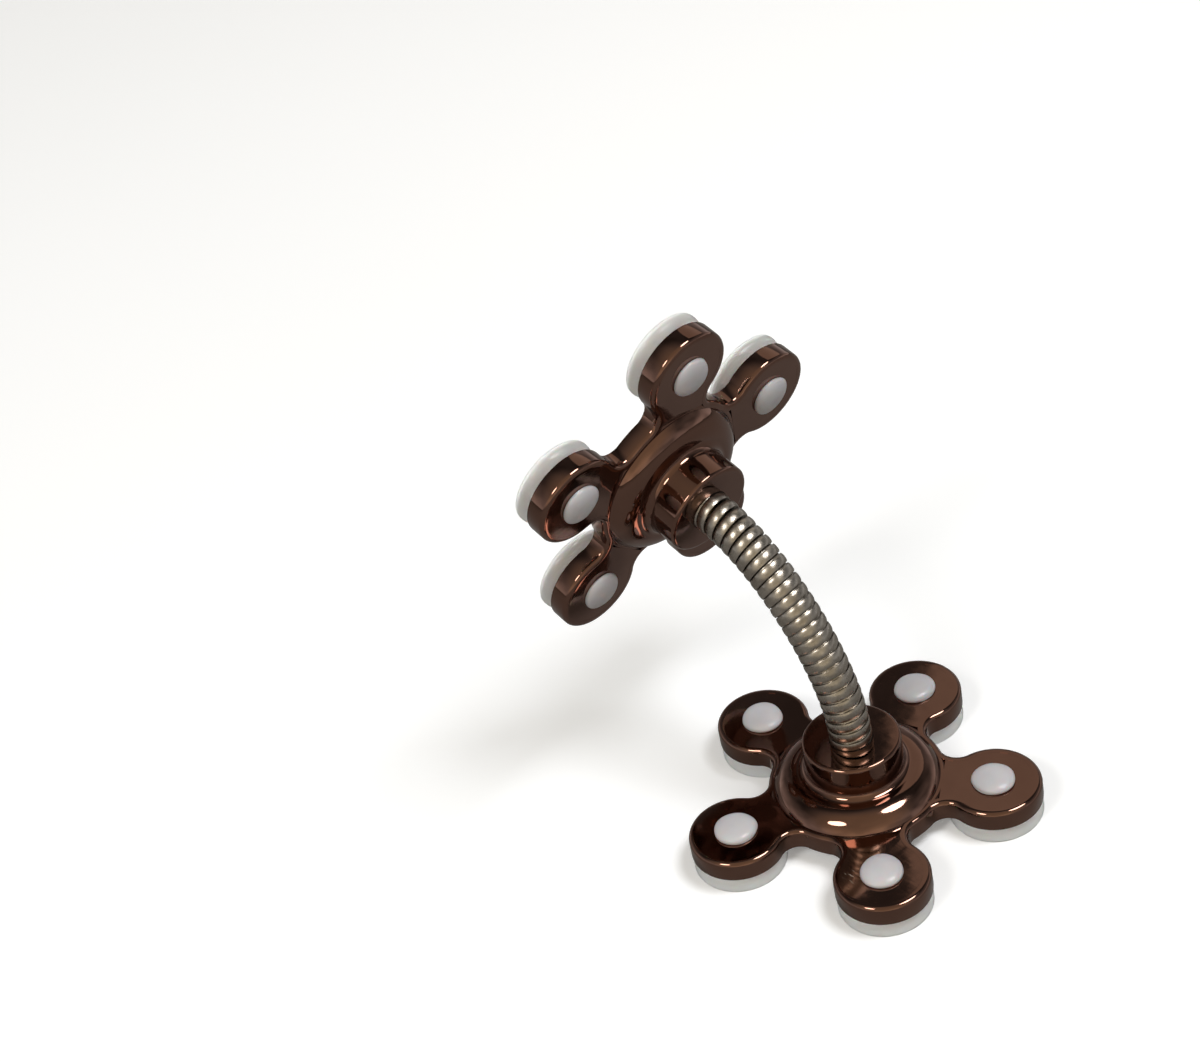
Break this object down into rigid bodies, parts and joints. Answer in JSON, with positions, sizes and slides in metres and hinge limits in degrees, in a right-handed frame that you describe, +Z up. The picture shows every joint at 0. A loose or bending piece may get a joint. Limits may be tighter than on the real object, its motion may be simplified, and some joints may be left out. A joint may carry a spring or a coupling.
{
  "type": "suction cup phone holder",
  "caption": "Small phone stand: two flower-shaped plates with suction cups under their petals, joined by a short gooseneck that bends and stays where it is put.",
  "frame": {"origin": "centre of the lower plate, on the plane of its cups' rims", "axes": "+Z up from the table through the lower collar, -Y the way the neck leans, X along the neck's hinge lines"},
  "size_m": [0.0571, 0.0723, 0.0809],
  "materials": {
    "plating": "dark bronze mirror plating on a moulded plastic",
    "soft_clear": "pale translucent soft moulding, smooth",
    "coil_metal": "bright nickel plated steel wire",
    "plug_brass": "turned, plain",
    "screw_steel": "zinc plated"
  },
  "bodies": {
    "base": {"base_plate": "plating", "base_cup_1": "soft_clear", "base_cup_2": "soft_clear", "base_cup_3": "soft_clear", "base_cup_4": "soft_clear", "base_cup_5": "soft_clear", "base_neck_plug": "plug_brass", "base_screw": "screw_steel"},
    "turn_01": {"neck_turn_01": "coil_metal"},
    "turn_02": {"neck_turn_02": "coil_metal"},
    "turn_03": {"neck_turn_03": "coil_metal"},
    "turn_04": {"neck_turn_04": "coil_metal"},
    "turn_05": {"neck_turn_05": "coil_metal"},
    "turn_06": {"neck_turn_06": "coil_metal"},
    "turn_07": {"neck_turn_07": "coil_metal"},
    "turn_08": {"neck_turn_08": "coil_metal"},
    "turn_09": {"neck_turn_09": "coil_metal"},
    "turn_10": {"neck_turn_10": "coil_metal"},
    "turn_11": {"neck_turn_11": "coil_metal"},
    "turn_12": {"neck_turn_12": "coil_metal"},
    "turn_13": {"neck_turn_13": "coil_metal"},
    "turn_14": {"neck_turn_14": "coil_metal"},
    "turn_15": {"neck_turn_15": "coil_metal"},
    "turn_16": {"neck_turn_16": "coil_metal"},
    "turn_17": {"neck_turn_17": "coil_metal"},
    "turn_18": {"neck_turn_18": "coil_metal"},
    "turn_19": {"neck_turn_19": "coil_metal"},
    "turn_20": {"neck_turn_20": "coil_metal"},
    "turn_21": {"neck_turn_21": "coil_metal"},
    "turn_22": {"neck_turn_22": "coil_metal"},
    "turn_23": {"neck_turn_23": "coil_metal"},
    "turn_24": {"neck_turn_24": "coil_metal"},
    "turn_25": {"neck_turn_25": "coil_metal"},
    "head": {"head_neck_plug": "plug_brass", "head_screw": "screw_steel", "head_plate": "plating", "head_cup_1": "soft_clear", "head_cup_2": "soft_clear", "head_cup_3": "soft_clear", "head_cup_4": "soft_clear", "head_cup_5": "soft_clear"}
  },
  "joints": [
    {"name": "neck_direction", "type": "hinge", "parent": "base", "child": "turn_01", "pos_m": [0, 0, 0.01495], "axis": [0, 0, 1], "range_deg": [-180, 180]},
    {"name": "lower_bend", "type": "hinge", "parent": "turn_01", "child": "turn_02", "pos_m": [0, -0.0032, 0.01659], "axis": [1, 0, 0], "range_deg": [-4.47, 1.79]},
    {"name": "bend_02", "type": "hinge", "parent": "turn_02", "child": "turn_03", "pos_m": [0, -0.00333, 0.01823], "axis": [1, 0, 0], "range_deg": [-4.11, 1.64]},
    {"name": "bend_03", "type": "hinge", "parent": "turn_03", "child": "turn_04", "pos_m": [0, -0.00357, 0.01985], "axis": [1, 0, 0], "range_deg": [-3.77, 1.51]},
    {"name": "bend_04", "type": "hinge", "parent": "turn_04", "child": "turn_05", "pos_m": [0, -0.00392, 0.02145], "axis": [1, 0, 0], "range_deg": [-3.47, 1.39]},
    {"name": "bend_05", "type": "hinge", "parent": "turn_05", "child": "turn_06", "pos_m": [0, -0.00437, 0.02303], "axis": [1, 0, 0], "range_deg": [-3.21, 1.28]},
    {"name": "bend_06", "type": "hinge", "parent": "turn_06", "child": "turn_07", "pos_m": [0, -0.00491, 0.02458], "axis": [1, 0, 0], "range_deg": [-2.97, 1.19]},
    {"name": "bend_07", "type": "hinge", "parent": "turn_07", "child": "turn_08", "pos_m": [0, -0.00552, 0.0261], "axis": [1, 0, 0], "range_deg": [-2.77, 1.11]},
    {"name": "bend_08", "type": "hinge", "parent": "turn_08", "child": "turn_09", "pos_m": [0, -0.00621, 0.02759], "axis": [1, 0, 0], "range_deg": [-2.61, 1.04]},
    {"name": "bend_09", "type": "hinge", "parent": "turn_09", "child": "turn_10", "pos_m": [0, -0.00696, 0.02904], "axis": [1, 0, 0], "range_deg": [-2.47, 0.99]},
    {"name": "bend_10", "type": "hinge", "parent": "turn_10", "child": "turn_11", "pos_m": [0, -0.00778, 0.03047], "axis": [1, 0, 0], "range_deg": [-2.37, 0.95]},
    {"name": "bend_11", "type": "hinge", "parent": "turn_11", "child": "turn_12", "pos_m": [0, -0.00865, 0.03185], "axis": [1, 0, 0], "range_deg": [-2.3, 0.92]},
    {"name": "bend_12", "type": "hinge", "parent": "turn_12", "child": "turn_13", "pos_m": [0, -0.00958, 0.0332], "axis": [1, 0, 0], "range_deg": [-2.27, 0.91]},
    {"name": "upper_bend", "type": "hinge", "parent": "turn_13", "child": "turn_14", "pos_m": [0, -0.01056, 0.03452], "axis": [1, 0, 0], "range_deg": [-2.27, 0.91]},
    {"name": "bend_14", "type": "hinge", "parent": "turn_14", "child": "turn_15", "pos_m": [0, -0.0116, 0.03579], "axis": [1, 0, 0], "range_deg": [-2.3, 0.92]},
    {"name": "bend_15", "type": "hinge", "parent": "turn_15", "child": "turn_16", "pos_m": [0, -0.01268, 0.03702], "axis": [1, 0, 0], "range_deg": [-2.37, 0.95]},
    {"name": "bend_16", "type": "hinge", "parent": "turn_16", "child": "turn_17", "pos_m": [0, -0.01382, 0.03821], "axis": [1, 0, 0], "range_deg": [-2.47, 0.99]},
    {"name": "bend_17", "type": "hinge", "parent": "turn_17", "child": "turn_18", "pos_m": [0, -0.015, 0.03934], "axis": [1, 0, 0], "range_deg": [-2.61, 1.04]},
    {"name": "bend_18", "type": "hinge", "parent": "turn_18", "child": "turn_19", "pos_m": [0, -0.01623, 0.04042], "axis": [1, 0, 0], "range_deg": [-2.77, 1.11]},
    {"name": "bend_19", "type": "hinge", "parent": "turn_19", "child": "turn_20", "pos_m": [0, -0.01752, 0.04144], "axis": [1, 0, 0], "range_deg": [-2.97, 1.19]},
    {"name": "bend_20", "type": "hinge", "parent": "turn_20", "child": "turn_21", "pos_m": [0, -0.01886, 0.04239], "axis": [1, 0, 0], "range_deg": [-3.21, 1.28]},
    {"name": "bend_21", "type": "hinge", "parent": "turn_21", "child": "turn_22", "pos_m": [0, -0.02024, 0.04326], "axis": [1, 0, 0], "range_deg": [-3.47, 1.39]},
    {"name": "bend_22", "type": "hinge", "parent": "turn_22", "child": "turn_23", "pos_m": [0, -0.02168, 0.04405], "axis": [1, 0, 0], "range_deg": [-3.77, 1.51]},
    {"name": "bend_23", "type": "hinge", "parent": "turn_23", "child": "turn_24", "pos_m": [0, -0.02317, 0.04475], "axis": [1, 0, 0], "range_deg": [-4.11, 1.64]},
    {"name": "bend_24", "type": "hinge", "parent": "turn_24", "child": "turn_25", "pos_m": [0, -0.0247, 0.04533], "axis": [1, 0, 0], "range_deg": [-4.47, 1.79]},
    {"name": "head_direction", "type": "hinge", "parent": "turn_25", "child": "head", "pos_m": [0, -0.02537, 0.04886], "axis": [0, -0.9593, 0.2823], "range_deg": [-180, 180]}
  ],
  "couplings": [
    {"joint": "bend_02", "follows": "lower_bend", "ratio": 0.91795},
    {"joint": "bend_03", "follows": "lower_bend", "ratio": 0.84335},
    {"joint": "bend_04", "follows": "lower_bend", "ratio": 0.77622},
    {"joint": "bend_05", "follows": "lower_bend", "ratio": 0.71654},
    {"joint": "bend_06", "follows": "lower_bend", "ratio": 0.66433},
    {"joint": "bend_07", "follows": "lower_bend", "ratio": 0.61957},
    {"joint": "bend_08", "follows": "lower_bend", "ratio": 0.58228},
    {"joint": "bend_09", "follows": "lower_bend", "ratio": 0.55244},
    {"joint": "bend_10", "follows": "lower_bend", "ratio": 0.53006},
    {"joint": "bend_11", "follows": "lower_bend", "ratio": 0.51514},
    {"joint": "bend_12", "follows": "lower_bend", "ratio": 0.50768},
    {"joint": "bend_14", "follows": "upper_bend", "ratio": 1.0147},
    {"joint": "bend_15", "follows": "upper_bend", "ratio": 1.0441},
    {"joint": "bend_16", "follows": "upper_bend", "ratio": 1.0882},
    {"joint": "bend_17", "follows": "upper_bend", "ratio": 1.1469},
    {"joint": "bend_18", "follows": "upper_bend", "ratio": 1.2204},
    {"joint": "bend_19", "follows": "upper_bend", "ratio": 1.3086},
    {"joint": "bend_20", "follows": "upper_bend", "ratio": 1.4114},
    {"joint": "bend_21", "follows": "upper_bend", "ratio": 1.5289},
    {"joint": "bend_22", "follows": "upper_bend", "ratio": 1.6612},
    {"joint": "bend_23", "follows": "upper_bend", "ratio": 1.8081},
    {"joint": "bend_24", "follows": "upper_bend", "ratio": 1.9697},
    {"joint": "head_direction", "follows": "neck_direction", "ratio": -1}
  ]
}
